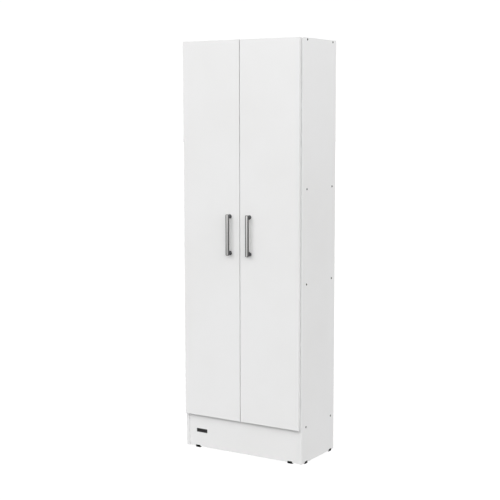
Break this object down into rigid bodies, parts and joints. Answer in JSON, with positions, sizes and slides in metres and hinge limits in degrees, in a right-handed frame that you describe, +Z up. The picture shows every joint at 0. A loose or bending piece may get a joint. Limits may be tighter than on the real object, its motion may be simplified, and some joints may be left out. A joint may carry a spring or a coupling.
{
  "type": "broom cupboard",
  "caption": "Tall narrow white cupboard with hinged full-height doors, bar handles, recessed plinth, an open broom bay and a shelved bay.",
  "frame": {"origin": "on the floor, under the middle of the whole cupboard with its handles", "axes": "+X to the right seen from the front, +Y to the back, +Z up; the doors face -Y"},
  "size_m": [0.6, 0.34, 1.82],
  "materials": {
    "white_board": "satin white melamine facing and edging on particle board",
    "hardboard": "hardboard, white lacquer inside, bare brown outside",
    "black_plastic": "matt black moulded plastic",
    "dark_steel": "dark zinc-plated screw steel",
    "zinc_steel": "bright zinc plating",
    "hinge_nickel": "nickel-plated pressed steel",
    "handle_nickel": "satin nickel-plated zinc casting",
    "white_plastic": "white moulded plastic",
    "magnet": "dark ceramic magnet",
    "clear_rubber": "soft translucent bumper"
  },
  "bodies": {
    "carcase": {"left_side_panel": "white_board", "right_side_panel": "white_board", "top_panel": "white_board", "base_panel": "white_board", "centre_divider": "white_board", "lower_shelf": "white_board", "upper_shelf": "white_board", "plinth_board": "white_board", "back_panel": "hardboard", "plinth_plate": "black_plastic", "side_glides": "black_plastic", "plinth_glides": "black_plastic", "assembly_screws": "dark_steel", "plinth_brackets": "zinc_steel", "bracket_screws": "zinc_steel", "hinge_plate_screws": "zinc_steel", "hinge_arm_screws": "zinc_steel", "catch_screws": "zinc_steel", "catch_poles": "zinc_steel", "hinge_arms": "hinge_nickel", "hinge_plates": "hinge_nickel", "catch_bodies": "white_plastic", "catch_magnets": "magnet"},
    "left_door": {"left_door": "white_board", "left_handle_bar": "handle_nickel", "left_handle_posts": "handle_nickel", "left_handle_screws": "zinc_steel", "left_hinge_cups": "hinge_nickel", "left_hinge_pins": "zinc_steel", "left_door_screws": "zinc_steel", "left_strike_plate": "zinc_steel", "left_bumpers": "clear_rubber"},
    "right_door": {"right_door": "white_board", "right_handle_bar": "handle_nickel", "right_handle_posts": "handle_nickel", "right_handle_screws": "zinc_steel", "right_hinge_cups": "hinge_nickel", "right_hinge_pins": "zinc_steel", "right_door_screws": "zinc_steel", "right_strike_plate": "zinc_steel", "right_bumpers": "clear_rubber"}
  },
  "joints": [
    {"name": "left_door_hinge", "type": "hinge", "parent": "carcase", "child": "left_door", "pos_m": [-0.28672, -0.1353, 0.98825], "axis": [0, 0, -1], "range_deg": [0, 105]},
    {"name": "right_door_hinge", "type": "hinge", "parent": "carcase", "child": "right_door", "pos_m": [0.28672, -0.1353, 0.98825], "axis": [0, 0, 1], "range_deg": [0, 105]}
  ]
}
